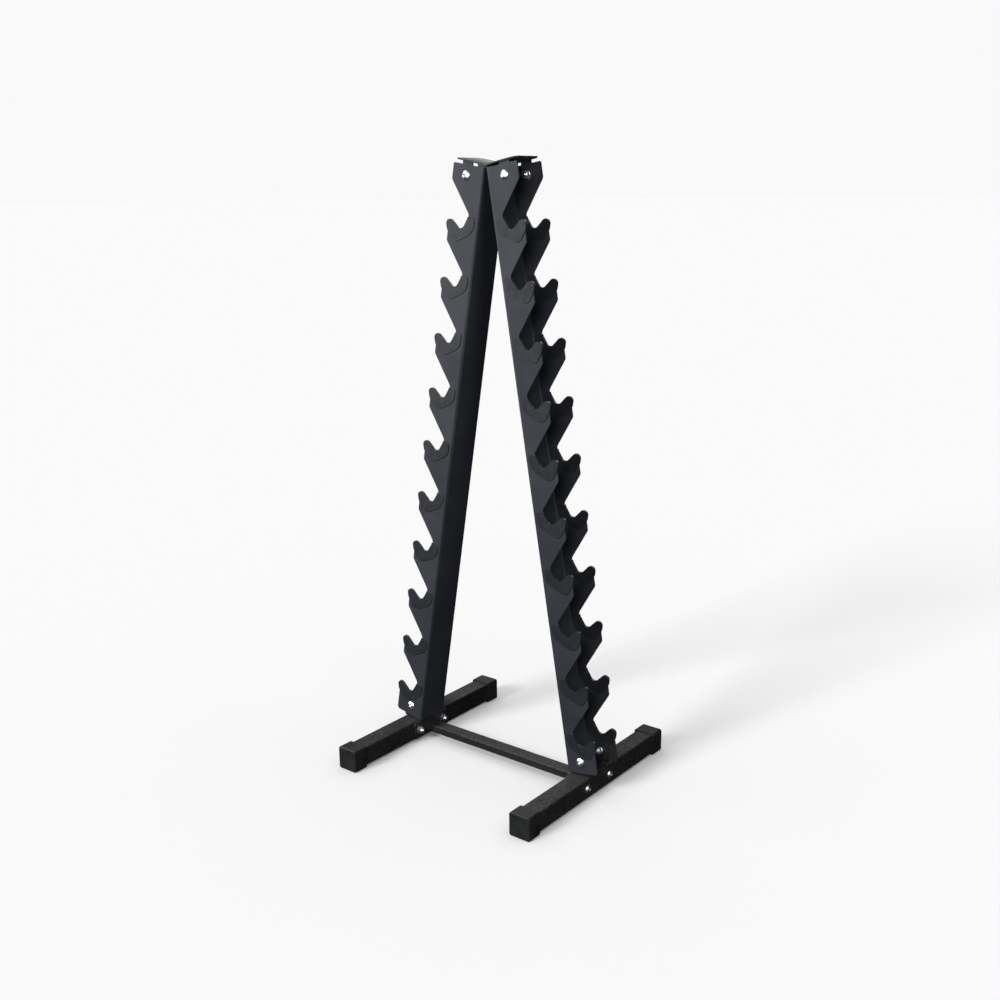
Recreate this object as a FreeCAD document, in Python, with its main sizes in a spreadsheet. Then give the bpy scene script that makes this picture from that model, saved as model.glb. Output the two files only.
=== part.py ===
import FreeCAD, Part
import Sketcher
import math
import os

# Ten-tier A-frame dumbbell rack: two leaning folded-sheet posts joined by a winged top plate,
# bolted to two floor tubes that a crossbar ties together. Plastic liners cover every hook.
# Millimetres. Z is up, X runs from the left post to the right post, Y from front to back.
# The origin is on the floor, midway between the two floor tubes.

V = FreeCAD.Vector
UP = V(0, 0, 1)
ACROSS = V(1, 0, 0)
DEEP = V(0, 1, 0)

os.makedirs("parts", exist_ok=True)
doc = FreeCAD.newDocument("DumbbellRack")
sheet = doc.addObject("Spreadsheet::Sheet", "Sizes")

SIZES = [
    # posts: each is a channel folded from sheet, web towards the middle, flanges outwards
    ("tiltAngle", 9.45),
    ("postLift", 1.7),
    ("postTopHalfGap", 2),
    ("postDepth", 90),
    ("postGauge", 3),
    ("postBend", 6),
    ("flangeReach", 88.5),
    ("headCornerRadius", 4),
    ("headLowerRadius", 12),
    ("postFootRadius", 8),
    # hooks: reach is measured outwards from the web, drop downwards from the throat level
    ("hookCount", 10),
    ("hookPitch", 134),
    ("firstThroat", 110),
    ("lastThroatRise", 99.5),
    ("throatReach", 28.5),
    ("throatDrop", 3),
    ("throatRadius", 16),
    ("hookFaceAngle", 40.5),
    ("cradleReach", 50.5),
    ("cradleDrop", 18.5),
    ("cradleRadius", 13),
    ("tipReach", 80.6),
    ("tipDrop", 26),
    ("tipRadius", 10.5),
    ("tipUndercut", 18),
    ("hookSide", 85.5),
    ("bulgeRadius", 10),
    # hook liners: a saddle over the hook edge with an ear on each face of the flange
    ("linerWall", 1.9),
    ("linerEar", 1.2),
    ("linerGap", 0.2),
    ("earTopDrop", 2),
    ("earLobeReach", 44),
    ("earLobeDrop", 16),
    ("earLobeRadius", 33.7),
    ("earHeelReach", 60),
    ("earHeelDrop", 42),
    ("earHeelRadius", 20),
    ("earTipDrop", 39),
    ("earCornerRadius", 5),
    ("lipRadius", 1.4),
    ("pegReach", 35),
    ("pegDrop", 44),
    ("pegDiameter", 5.2),
    ("pegHole", 6),
    ("dimpleDiameter", 4.6),
    ("dimpleDepth", 0.8),
    # fasteners
    ("boltDiameter", 10),
    ("boltHole", 10.6),
    ("boltHeadDiameter", 22),
    ("boltHeadHeight", 5.5),
    ("boltHeadRim", 1.2),
    ("boltStub", 3),
    ("socketWidth", 6),
    ("socketDepth", 3),
    ("nutWidth", 17),
    ("nutHeight", 8),
    ("nutBore", 10.2),
    ("nutCollarDiameter", 14.6),
    ("nutCollarHeight", 3),
    ("washerDiameter", 20),
    ("washerThickness", 1.6),
    ("topBoltReach", 49.5),
    ("topBoltDrop", 23.5),
    ("baseBoltRise", 27),
    ("baseBoltReach", 40),
    # floor tubes and their end caps
    ("footSize", 50),
    ("footWall", 3),
    ("footCorner", 4),
    ("footLength", 560),
    ("capWall", 4),
    ("capFit", 0.3),
    ("capLength", 40),
    ("capEnd", 5.5),
    ("capCorner", 6),
    ("capFaceRadius", 2.5),
    # brackets welded on the floor tubes, standing inside the post channels
    ("bracketGauge", 4),
    ("bracketWidth", 50),
    ("bracketMargin", 11.2),
    ("bracketBend", 6),
    ("bracketCorner", 12),
    ("bracketGap", 0.25),
    # crossbar with its end plates
    ("barDepth", 35),
    ("barHeight", 20),
    ("barWall", 2.5),
    ("barCentreHeight", 25.5),
    ("barCorner", 3),
    ("plateThickness", 5),
    ("plateDepth", 132),
    ("plateHeight", 44),
    ("plateCorner", 6),
    ("footBoltSpacing", 94),
    # winged top plate with four tabs
    ("wingHalfSpan", 86),
    ("wingRise", 17.5),
    ("wingCrown", 1),
    ("wingLift", 4),
    ("wingGauge", 3),
    ("wingCorner", 14),
    ("tabGauge", 4),
    ("tabWidth", 28),
    ("tabEndDrop", 38),
    ("tabCorner", 7),
    ("tabGap", 0.25),
    # how far every cut runs past the piece it opens
    ("cutMargin", 12),
]

for row, (alias, value) in enumerate(SIZES, start=1):
    sheet.set("A%d" % row, alias)
    sheet.set("B%d" % row, str(value))
    sheet.setAlias("B%d" % row, alias)
doc.recompute()


class Size:
    """A length that knows its number and the sheet expression it comes from."""

    def __init__(self, number, text):
        self.number = number
        self.text = text

    def _join(self, other, sign, number):
        text = other.text if isinstance(other, Size) else repr(float(other))
        return Size(number, "(%s %s %s)" % (self.text, sign, text))

    def __add__(self, other):
        return self._join(other, "+", self.number + plain(other))

    def __sub__(self, other):
        return self._join(other, "-", self.number - plain(other))

    def __mul__(self, other):
        return self._join(other, "*", self.number * plain(other))

    def __truediv__(self, other):
        return self._join(other, "/", self.number / plain(other))

    def __neg__(self):
        return Size(-self.number, "(-1 * %s)" % self.text)


def plain(item):
    return item.number if isinstance(item, Size) else float(item)


def size(alias):
    return Size(float(sheet.get(alias)), "Sizes." + alias)


def sine(angle):
    return Size(math.sin(math.radians(angle.number)), "sin(%s * 1 deg)" % angle.text)


def cosine(angle):
    return Size(math.cos(math.radians(angle.number)), "cos(%s * 1 deg)" % angle.text)


def num(alias):
    return float(sheet.get(alias))


# ---- drawing helpers --------------------------------------------------------------------------

def new_body(label):
    body = doc.addObject("PartDesign::Body", label)
    body.Label = label
    return body


def new_sketch(body, name, role, shift=None):
    sketch = body.newObject("Sketcher::SketchObject", name)
    plane = [feature for feature in body.Origin.OriginFeatures if feature.Role == role][0]
    sketch.AttachmentSupport = [(plane, "")]
    sketch.MapMode = "FlatFace"
    if shift is not None:
        sketch.setExpression(".AttachmentOffset.Base.z", shift.text)
    return sketch


def pin_point(sketch, geo, pos, x, y):
    """Holds one point of a sketch at sheet-driven coordinates."""
    for kind, value, axis in (("DistanceX", x, -2), ("DistanceY", y, -1)):
        if abs(value.number) < 1e-9:
            sketch.addConstraint(Sketcher.Constraint("PointOnObject", geo, pos, axis))
            continue
        index = sketch.addConstraint(Sketcher.Constraint(kind, -1, 1, geo, pos, value.number))
        sketch.setExpression("Constraints[%d]" % index, value.text)


def draw_polygon(sketch, corners):
    first = len(sketch.Geometry)
    count = len(corners)
    points = [V(x.number, y.number, 0) for x, y in corners]
    for i in range(count):
        sketch.addGeometry(Part.LineSegment(points[i], points[(i + 1) % count]))
    for i in range(count):
        follower = first + (i + 1) % count
        sketch.addConstraint(Sketcher.Constraint("Coincident", first + i, 2, follower, 1))
    for i, (x, y) in enumerate(corners):
        pin_point(sketch, first + i, 1, x, y)


def draw_box(sketch, left, right, low, high):
    draw_polygon(sketch, [(left, low), (right, low), (right, high), (left, high)])


def draw_hexagon(sketch, across):
    corner = across * (1 / math.sqrt(3))
    flat = across / 2
    zero = Size(0.0, "0")
    draw_polygon(sketch, [
        (corner, zero),
        (corner / 2, flat),
        (-corner / 2, flat),
        (-corner, zero),
        (-corner / 2, -flat),
        (corner / 2, -flat),
    ])


def draw_circle(sketch, x, y, diameter):
    centre = V(x.number, y.number, 0)
    geo = sketch.addGeometry(Part.Circle(centre, UP, diameter.number / 2))
    index = sketch.addConstraint(Sketcher.Constraint("Diameter", geo, diameter.number))
    sketch.setExpression("Constraints[%d]" % index, diameter.text)
    pin_point(sketch, geo, 3, x, y)


def arc_piece(centre, start, end, turn):
    """An arc about centre from start to end; turn is 1 for anticlockwise, -1 for clockwise."""
    first, last = (start, end) if turn > 0 else (end, start)
    begin = math.atan2(first.y - centre.y, first.x - centre.x)
    finish = math.atan2(last.y - centre.y, last.x - centre.x)
    if finish < begin:
        finish += 2 * math.pi
    return Part.ArcOfCircle(Part.Circle(centre, UP, (start - centre).Length), begin, finish)


def draw_path(sketch, path):
    """Draws a closed chain of ('line', end) and ('arc', centre, end, turn) steps."""
    here = path[0][1]
    ends = []
    for step in path[1:]:
        start = here
        if step[0] == "line":
            here = step[1]
            geo = sketch.addGeometry(Part.LineSegment(start, here))
            ends.append((geo, 1, 2))
        else:
            here = step[2]
            geo = sketch.addGeometry(arc_piece(step[1], start, here, step[3]))
            ends.append((geo, 1, 2) if step[3] > 0 else (geo, 2, 1))
    for i, (geo, _, tail) in enumerate(ends):
        follower = ends[(i + 1) % len(ends)]
        sketch.addConstraint(Sketcher.Constraint("Coincident", geo, tail, follower[0], follower[1]))


def bind(feature, prop, value):
    setattr(feature, prop, value.number)
    feature.setExpression(prop, value.text)


def add_pad(body, name, sketch, length, both=False, backwards=False):
    pad = body.newObject("PartDesign::Pad", name)
    pad.Profile = sketch
    bind(pad, "Length", length)
    pad.Midplane = both
    pad.Reversed = backwards
    body.Tip = pad
    return pad


def add_pocket(body, name, sketch, length, both=False, backwards=False):
    pocket = body.newObject("PartDesign::Pocket", name)
    pocket.Profile = sketch
    bind(pocket, "Length", length)
    pocket.Midplane = both
    pocket.Reversed = backwards
    body.Tip = pocket
    return pocket


def straight_edges(shape, direction, wanted):
    """Names of the straight edges along direction for which wanted(middle point) holds."""
    names = []
    for number, edge in enumerate(shape.Edges, start=1):
        if not isinstance(edge.Curve, Part.Line):
            continue
        along = edge.tangentAt(edge.FirstParameter)
        if abs(abs(along.dot(direction)) - 1) > 1e-6:
            continue
        if wanted(edge.CenterOfMass):
            names.append("Edge%d" % number)
    return names


def add_fillet(body, name, radius, direction, wanted):
    doc.recompute()
    base = body.Tip
    names = straight_edges(base.Shape, direction, wanted)
    if not names:
        raise RuntimeError("no edge found for " + name)
    fillet = body.newObject("PartDesign::Fillet", name)
    fillet.Base = (base, names)
    bind(fillet, "Radius", radius)
    body.Tip = fillet
    return fillet


def near(point, x, z, slack=0.6):
    return abs(point.x - x) < slack and abs(point.z - z) < slack


# ---- post frame -------------------------------------------------------------------------------

def post_length():
    return size("firstThroat") + (size("hookCount") - 1) * size("hookPitch") + size("lastThroatRise")


def tube_top():
    """Height of the top of the floor tubes, which stand on the lower walls of their caps."""
    return size("capWall") + size("footSize")


def post_top():
    """Height of the upper end of the web; its lower end clears the floor tube by postLift."""
    return tube_top() + size("postLift") + post_length() * cosine(size("tiltAngle"))


def post_frame(side):
    """Placement of a post: its own X points outwards, its own Z up along the lean."""
    lean = FreeCAD.Rotation(DEEP, -num("tiltAngle"))
    right = FreeCAD.Placement(V(num("postTopHalfGap"), 0, post_top().number), lean)
    if side > 0:
        return right
    return FreeCAD.Placement(V(0, 0, 0), FreeCAD.Rotation(UP, 180)).multiply(right)


def on_post(side, reach, drop, depth=0.0):
    return post_frame(side).multVec(V(reach, depth * side, -drop))


def post_spot(reach, drop):
    """Sheet-driven X and Z of a spot on the right post."""
    lean = size("tiltAngle")
    x = size("postTopHalfGap") + drop * sine(lean) + reach * cosine(lean)
    z = post_top() - drop * cosine(lean) + reach * sine(lean)
    return x, z


def base_bolt_spot():
    return post_spot(size("baseBoltReach"), post_length() - size("baseBoltRise"))


def foot_reach():
    """Distance of each floor tube from the middle: its centre line is under the base bolts."""
    return base_bolt_spot()[0]


# ---- hook outline -----------------------------------------------------------------------------

def common_tangent(c0, r0, side0, c1, r1, side1):
    """Touch points of a straight run between two circles, each on its left (1) or right (-1)."""
    span = c1 - c0
    offset = side1 * r1 - side0 * r0
    run = math.sqrt(span.Length ** 2 - offset ** 2)
    heading = math.atan2(span.y, span.x) - math.atan2(offset, run)
    left = V(-math.sin(heading), math.cos(heading), 0)
    return c0 - left * (side0 * r0), c1 - left * (side1 * r1)


def hook_outline(lining):
    """Touch points of a hook edge, with so much lining lying on the bare steel."""
    throat = V(num("throatReach") + num("throatRadius"), -num("throatDrop"), 0)
    cradle = V(num("cradleReach"), -num("cradleDrop"), 0)
    tip = V(num("tipReach"), -num("tipDrop"), 0)
    cover = num("linerWall") + num("linerGap")
    throat_radius = num("throatRadius") - lining
    cradle_radius = num("cradleRadius") + cover - lining
    tip_radius = num("tipRadius") - cover + lining
    face = math.radians(num("hookFaceAngle"))
    under = math.radians(num("tipUndercut"))
    start = throat + V(-math.cos(face), math.sin(face), 0) * throat_radius
    leave_throat, meet_cradle = common_tangent(throat, throat_radius, 1, cradle, cradle_radius, 1)
    leave_cradle, meet_tip = common_tangent(cradle, cradle_radius, 1, tip, tip_radius, -1)
    leave_tip = tip + V(math.cos(under), -math.sin(under), 0) * tip_radius
    return {
        "throat": throat,
        "cradle": cradle,
        "tip": tip,
        "throatRadius": throat_radius,
        "start": start,
        "leaveThroat": leave_throat,
        "meetCradle": meet_cradle,
        "leaveCradle": leave_cradle,
        "meetTip": meet_tip,
        "leaveTip": leave_tip,
        "underSlope": math.tan(under),
        "faceRise": 1 / math.tan(face),
    }


def hook_run(outline):
    """Steps along the hook edge from the throat to the outside of the tip."""
    return [
        ("arc", outline["throat"], outline["leaveThroat"], 1),
        ("line", outline["meetCradle"]),
        ("arc", outline["cradle"], outline["leaveCradle"], 1),
        ("line", outline["meetTip"]),
        ("arc", outline["tip"], outline["leaveTip"], -1),
    ]


def shifted(path, offset):
    moved = []
    for step in path:
        moved.append(tuple(item + offset if isinstance(item, FreeCAD.Vector) else item for item in step))
    return moved


def hook_cut_path():
    """Outline of the sheet removed above and outside one hook."""
    outline = hook_outline(0.0)
    beyond = num("flangeReach") + num("cutMargin")
    side = num("hookSide")
    start = outline["start"]
    top = V(beyond, start.y + (beyond - start.x) * outline["faceRise"], 0)
    leave = outline["leaveTip"]
    neck = V(side, leave.y - (leave.x - side) / outline["underSlope"], 0)
    low = -(num("lastThroatRise") + num("cutMargin"))
    path = [("start", top), ("line", start)]
    path += hook_run(outline)
    path += [("line", neck), ("line", V(side, low, 0)), ("line", V(beyond, low, 0)), ("line", top)]
    return shifted(path, V(0, -num("firstThroat"), 0))


# ---- posts ------------------------------------------------------------------------------------

def make_post(label, side):
    body = new_body(label)
    depth = size("postDepth")
    gauge = size("postGauge")
    half = depth / 2

    outer = new_sketch(body, label + "_blank", "XY_Plane")
    zero = Size(0.0, "0")
    draw_box(outer, zero, size("flangeReach"), -half, half)
    add_pad(body, label + "_fold", outer, post_length(), backwards=True)

    add_fillet(body, label + "_bend_outside", size("postBend"), UP, lambda p: abs(p.x) < 0.1)

    hollow = new_sketch(body, label + "_hollow_outline", "XY_Plane")
    draw_box(hollow, gauge, size("flangeReach") + size("cutMargin"), gauge - half, half - gauge)
    add_pocket(body, label + "_hollow", hollow, post_length())

    web_inside = num("postGauge")
    add_fillet(body, label + "_bend_inside", size("postBend") - gauge, UP,
               lambda p: abs(p.x - web_inside) < 0.1)

    notch = new_sketch(body, label + "_notch_outline", "XZ_Plane")
    draw_path(notch, hook_cut_path())
    notch_cut = add_pocket(body, label + "_notch", notch, depth * 2, both=True)

    peg = new_sketch(body, label + "_peg_hole_outline", "XZ_Plane")
    draw_circle(peg, size("pegReach"), -(size("firstThroat") + size("pegDrop")), size("pegHole"))
    peg_cut = add_pocket(body, label + "_peg_hole", peg, depth * 2, both=True)

    tiers = body.newObject("PartDesign::LinearPattern", label + "_tiers")
    tiers.Originals = [notch_cut, peg_cut]
    tiers.Direction = (notch, ["V_Axis"])
    tiers.Reversed = True
    bind(tiers, "Length", (size("hookCount") - 1) * size("hookPitch"))
    tiers.Occurrences = int(num("hookCount"))
    tiers.setExpression("Occurrences", "Sizes.hookCount")
    body.Tip = tiers

    holes = new_sketch(body, label + "_bolt_holes_outline", "XZ_Plane")
    draw_circle(holes, size("topBoltReach"), -size("topBoltDrop"), size("boltHole"))
    draw_circle(holes, size("baseBoltReach"), size("baseBoltRise") - post_length(), size("boltHole"))
    add_pocket(body, label + "_bolt_holes", holes, depth * 2, both=True)

    side_x = num("hookSide")
    outline = hook_outline(0.0)
    start = outline["start"]
    bulge_z = start.y + (side_x - start.x) * outline["faceRise"] - num("firstThroat")
    bulges = [bulge_z - i * num("hookPitch") for i in range(1, int(num("hookCount")))]
    add_fillet(body, label + "_bulge_rounds", size("bulgeRadius"), DEEP,
               lambda p: any(near(p, side_x, z) for z in bulges))

    reach = num("flangeReach")
    head_z = start.y + (reach - start.x) * outline["faceRise"] - num("firstThroat")
    add_fillet(body, label + "_head_lower_rounds", size("headLowerRadius"), DEEP,
               lambda p: near(p, reach, head_z))
    add_fillet(body, label + "_head_corners", size("headCornerRadius"), DEEP,
               lambda p: near(p, reach, 0))
    add_fillet(body, label + "_foot_corners", size("postFootRadius"), DEEP,
               lambda p: near(p, side_x, -post_length().number))
    body.Placement = post_frame(side)
    return body


# ---- hook liners ------------------------------------------------------------------------------

def liner_ear_path():
    """Outline of the whole liner, seen square on to the flange."""
    outline = hook_outline(num("linerWall") + num("linerGap"))
    throat = outline["throat"]
    lip_z = -num("earTopDrop")
    lip_x = throat.x - math.sqrt(outline["throatRadius"] ** 2 - (lip_z - throat.y) ** 2)
    lobe = V(num("earLobeReach"), -num("earLobeDrop"), 0)
    heel = V(num("earHeelReach"), -num("earHeelDrop"), 0)
    lobe_radius = num("earLobeRadius")
    heel_radius = num("earHeelRadius")
    leave = outline["leaveTip"]
    corner_z = -num("earTipDrop")
    corner = V(leave.x - (leave.y - corner_z) * outline["underSlope"], corner_z, 0)
    _, meet_heel = common_tangent(corner, 0.0, -1, heel, heel_radius, -1)
    leave_heel, meet_lobe = common_tangent(heel, heel_radius, -1, lobe, lobe_radius, -1)
    top_x = lobe.x - math.sqrt(lobe_radius ** 2 - (lip_z - lobe.y) ** 2)
    lip = V(lip_x, lip_z, 0)
    top = V(top_x, lip_z, 0)
    path = [("start", lip)]
    path += hook_run(outline)
    path += [
        ("line", corner),
        ("line", meet_heel),
        ("arc", heel, leave_heel, -1),
        ("line", meet_lobe),
        ("arc", lobe, top, -1),
        ("line", lip),
    ]
    return path, top, corner, lip


def liner_slot_path():
    """Outline of the space the sheet takes up inside a liner."""
    outline = hook_outline(num("linerGap"))
    start = outline["start"]
    side = num("hookSide") + num("linerGap")
    leave = outline["leaveTip"]
    neck = V(side, leave.y - (leave.x - side) / outline["underSlope"], 0)
    low = -(num("earHeelDrop") + num("earHeelRadius") + num("cutMargin"))
    path = [("start", start)]
    path += hook_run(outline)
    path += [
        ("line", neck),
        ("line", V(side, low, 0)),
        ("line", V(0, low, 0)),
        ("line", V(0, start.y, 0)),
        ("line", start),
    ]
    return path


def make_liner(label, side, row, tier):
    """One liner; side is the post (-1 left, 1 right), row the flange (-1 front, 1 back)."""
    body = new_body(label)
    slot_width = size("postGauge") + size("linerGap") * 2
    width = slot_width + size("linerEar") * 2
    ear_path, top, corner, lip = liner_ear_path()

    ears = new_sketch(body, label + "_ear_outline", "XZ_Plane")
    draw_path(ears, ear_path)
    add_pad(body, label + "_block", ears, width, both=True)

    slot = new_sketch(body, label + "_slot_outline", "XZ_Plane")
    draw_path(slot, liner_slot_path())
    add_pocket(body, label + "_slot", slot, slot_width, both=True)

    peg = new_sketch(body, label + "_peg_outline", "XZ_Plane")
    draw_circle(peg, size("pegReach"), -size("pegDrop"), size("pegDiameter"))
    add_pad(body, label + "_peg", peg, slot_width + size("linerEar"), both=True)

    for name, sign in (("near", 1), ("far", -1)):
        dimple = new_sketch(body, label + "_dimple_outline_" + name, "XZ_Plane", width / 2 * sign)
        draw_circle(dimple, size("pegReach"), -size("pegDrop"), size("dimpleDiameter"))
        add_pocket(body, label + "_dimple_" + name, dimple, size("dimpleDepth"), backwards=sign < 0)

    add_fillet(body, label + "_top_round", size("earCornerRadius"), DEEP,
               lambda p: near(p, top.x, top.y, 0.2))
    add_fillet(body, label + "_tip_round", size("earCornerRadius"), DEEP,
               lambda p: near(p, corner.x, corner.y, 0.2))
    add_fillet(body, label + "_lip_round", size("lipRadius"), DEEP,
               lambda p: near(p, lip.x, lip.y, 0.2))
    frame = post_frame(side)
    depth = row * side * (num("postDepth") - num("postGauge")) / 2
    drop = num("firstThroat") + tier * num("hookPitch")
    body.Placement = frame.multiply(FreeCAD.Placement(V(0, depth, -drop), FreeCAD.Rotation()))
    return body


# ---- floor tubes, caps, brackets, crossbar ----------------------------------------------------

def foot_centre(side):
    return V(side * foot_reach().number, 0, num("capWall") + num("footSize") / 2)


def make_foot(label, side):
    body = new_body(label)
    half = size("footSize") / 2
    inside = half - size("footWall")
    tube = new_sketch(body, label + "_outside", "XZ_Plane")
    draw_box(tube, -half, half, -half, half)
    add_pad(body, label + "_tube", tube, size("footLength"), both=True)
    add_fillet(body, label + "_corners", size("footCorner"), DEEP, lambda p: True)
    bore = new_sketch(body, label + "_inside", "XZ_Plane")
    draw_box(bore, -inside, inside, -inside, inside)
    add_pocket(body, label + "_bore", bore, size("footLength") * 2, both=True)
    holes = new_sketch(body, label + "_bolt_holes_outline", "YZ_Plane")
    zero = Size(0.0, "0")
    for sign in (-1, 1):
        draw_circle(holes, size("footBoltSpacing") / 2 * sign, zero, size("boltHole"))
    add_pocket(body, label + "_bolt_holes", holes, size("footSize") * 2, both=True)
    body.Placement = FreeCAD.Placement(foot_centre(side), FreeCAD.Rotation())
    return body


def make_cap(label, side, row):
    """Slip-over end cap; its own origin is at the end of the tube, closed end towards -Y."""
    body = new_body(label)
    half = size("footSize") / 2 + size("capWall")
    socket = size("footSize") / 2 + size("capFit")
    skirt = size("capLength") - size("capEnd")
    outside = new_sketch(body, label + "_outside", "XZ_Plane", size("capEnd"))
    draw_box(outside, -half, half, -half, half)
    add_pad(body, label + "_block", outside, size("capLength"), backwards=True)
    add_fillet(body, label + "_long_rounds", size("capCorner"), DEEP, lambda p: True)
    doc.recompute()
    base = body.Tip
    front = -num("capEnd")
    rim = []
    for number, edge in enumerate(base.Shape.Edges, start=1):
        if all(abs(vertex.Point.y - front) < 1e-6 for vertex in edge.Vertexes):
            rim.append("Edge%d" % number)
    face_round = body.newObject("PartDesign::Fillet", label + "_face_round")
    face_round.Base = (base, rim)
    bind(face_round, "Radius", size("capFaceRadius"))
    body.Tip = face_round
    mouth = new_sketch(body, label + "_socket_outline", "XZ_Plane")
    draw_box(mouth, -socket, socket, -socket, socket)
    add_pocket(body, label + "_socket", mouth, skirt + size("cutMargin"))
    turn = FreeCAD.Rotation(UP, 0 if row < 0 else 180)
    end = foot_centre(side) + V(0, row * num("footLength") / 2, 0)
    body.Placement = FreeCAD.Placement(end, turn)
    return body


def make_bracket(label, side):
    """Folded U standing on the floor tube; its own origin is on top of the tube."""
    body = new_body(label)
    gauge = size("bracketGauge")
    half = size("postDepth") / 2 - size("postGauge") - size("bracketGap")
    bolt_rise = base_bolt_spot()[1] - tube_top()
    rise = bolt_rise + size("bracketMargin")
    zero = Size(0.0, "0")
    blank = new_sketch(body, label + "_blank", "YZ_Plane")
    draw_polygon(blank, [
        (-half, zero),
        (half, zero),
        (half, rise),
        (half - gauge, rise),
        (half - gauge, gauge),
        (gauge - half, gauge),
        (gauge - half, rise),
        (-half, rise),
    ])
    add_pad(body, label + "_fold", blank, size("bracketWidth"), both=True)
    add_fillet(body, label + "_bends", size("bracketBend"), ACROSS, lambda p: abs(p.z) < 0.01)
    inner = num("bracketGauge")
    add_fillet(body, label + "_inner_bends", size("bracketBend") - gauge, ACROSS,
               lambda p: abs(p.z - inner) < 0.01)
    top = rise.number
    add_fillet(body, label + "_ear_corners", size("bracketCorner"), DEEP,
               lambda p: abs(p.z - top) < 0.01)
    holes = new_sketch(body, label + "_bolt_holes_outline", "XZ_Plane")
    draw_circle(holes, zero, bolt_rise, size("boltHole"))
    add_pocket(body, label + "_bolt_holes", holes, size("postDepth") * 2, both=True)
    seat = V(side * foot_reach().number, 0, tube_top().number)
    body.Placement = FreeCAD.Placement(seat, FreeCAD.Rotation())
    return body


def make_crossbar(label):
    """Rectangular tube with a bolting plate welded on each end; own origin at its middle."""
    body = new_body(label)
    reach = foot_reach() - size("footSize") / 2
    half_y = size("barDepth") / 2
    half_z = size("barHeight") / 2
    wall = size("barWall")
    bar = new_sketch(body, label + "_outside", "YZ_Plane")
    draw_box(bar, -half_y, half_y, -half_z, half_z)
    add_pad(body, label + "_tube", bar, (reach - size("plateThickness") / 2) * 2, both=True)
    add_fillet(body, label + "_corners", size("barCorner"), ACROSS, lambda p: True)
    bore = new_sketch(body, label + "_inside", "YZ_Plane")
    draw_box(bore, wall - half_y, half_y - wall, wall - half_z, half_z - wall)
    add_pocket(body, label + "_bore", bore, reach * 4, both=True)
    tube_centre = size("capWall") + size("footSize") / 2
    middle = tube_centre - size("barCentreHeight")
    plate_y = size("plateDepth") / 2
    plate_z = size("plateHeight") / 2
    for name, sign in (("left", -1), ("right", 1)):
        plate = new_sketch(body, label + "_plate_outline_" + name, "YZ_Plane", reach * sign)
        draw_box(plate, -plate_y, plate_y, middle - plate_z, middle + plate_z)
        add_pad(body, label + "_plate_" + name, plate, size("plateThickness"), backwards=sign > 0)
    edge_y = num("plateDepth") / 2
    add_fillet(body, label + "_plate_corners", size("plateCorner"), ACROSS,
               lambda p: abs(abs(p.y) - edge_y) < 0.01)
    holes = new_sketch(body, label + "_bolt_holes_outline", "YZ_Plane")
    for sign in (-1, 1):
        draw_circle(holes, size("footBoltSpacing") / 2 * sign, middle, size("boltHole"))
    add_pocket(body, label + "_bolt_holes", holes, reach * 4, both=True)
    body.Placement = FreeCAD.Placement(V(0, 0, num("barCentreHeight")), FreeCAD.Rotation())
    return body


# ---- winged top plate -------------------------------------------------------------------------

def wing_arc():
    """Underside of the right wing: its two ends, its middle and the radius through them."""
    root_z = post_top().number + num("wingLift")
    root = V(0, root_z, 0)
    tip = V(num("wingHalfSpan"), root_z + num("wingRise"), 0)
    middle = (root + tip) * 0.5 + V(0, num("wingCrown"), 0)
    return root, middle, tip


def wing_height(x):
    """Height of the underside of the wing at a distance x from the middle."""
    root, middle, tip = wing_arc()
    circle = Part.Arc(root, middle, tip).toShape().Curve
    return circle.Center.y + math.sqrt(circle.Radius ** 2 - (x - circle.Center.x) ** 2)


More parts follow.
